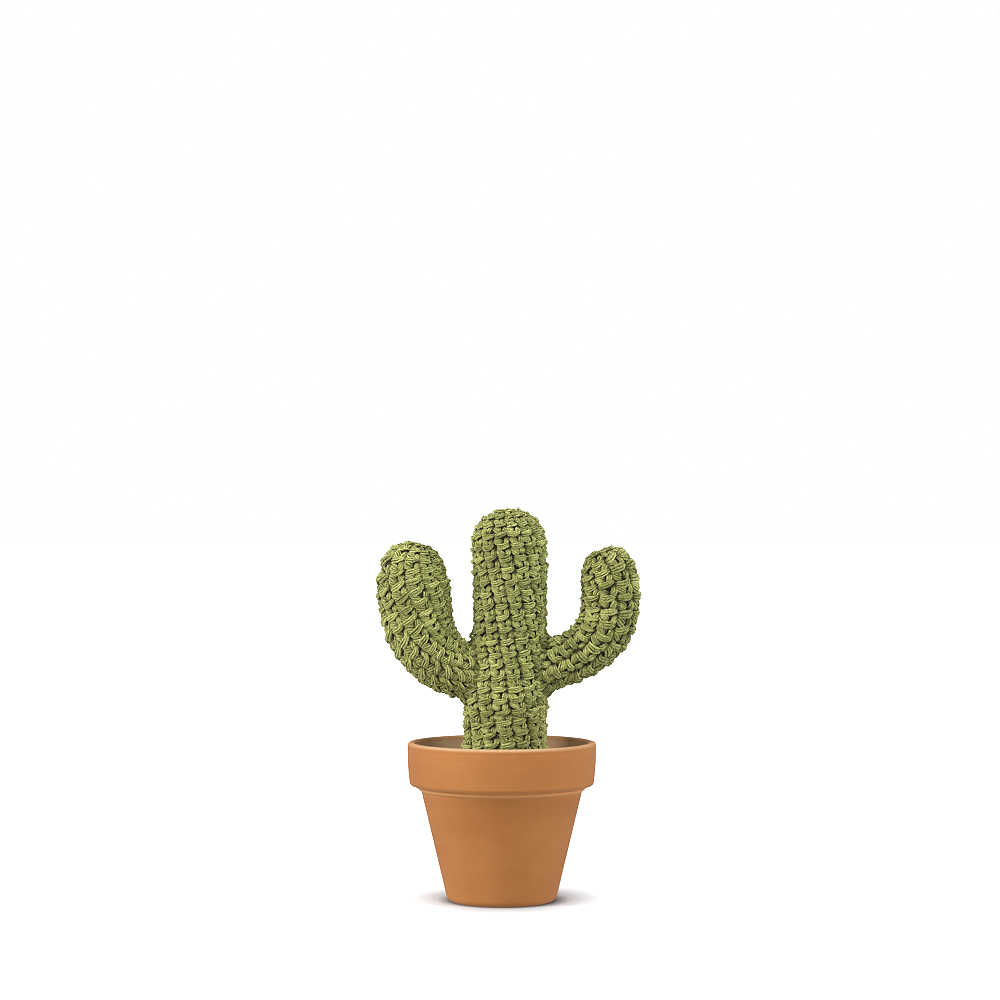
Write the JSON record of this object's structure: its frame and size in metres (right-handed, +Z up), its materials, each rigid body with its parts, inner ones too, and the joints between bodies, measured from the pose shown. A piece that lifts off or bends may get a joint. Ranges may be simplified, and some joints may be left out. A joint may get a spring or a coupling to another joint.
{
  "type": "crocheted potted cactus",
  "caption": "Stuffed crocheted cactus of saguaro shape, an upright trunk with arms sewn on, standing in a plain terracotta pot.",
  "frame": {"origin": "on the surface that the pot stands on, at the middle of the object's width and depth, under the top of the trunk", "axes": "+Z up along the trunk, +X towards the smaller arm, -Y towards the side that the picture shows"},
  "size_m": [0.1531, 0.1102, 0.2274],
  "materials": {
    "terracotta": "matte",
    "packing": "matte",
    "yarn": "matte",
    "stuffing": "matte",
    "sewing_yarn": "matte"
  },
  "bodies": {
    "root": {"pot": "terracotta", "pot_packing": "packing", "trunk_skin": "yarn", "trunk_stuffing": "stuffing", "left_arm_skin": "yarn", "left_arm_stuffing": "stuffing", "left_arm_seam": "sewing_yarn", "right_arm_skin": "yarn", "right_arm_stuffing": "stuffing", "right_arm_seam": "sewing_yarn"}
  },
  "joints": []
}
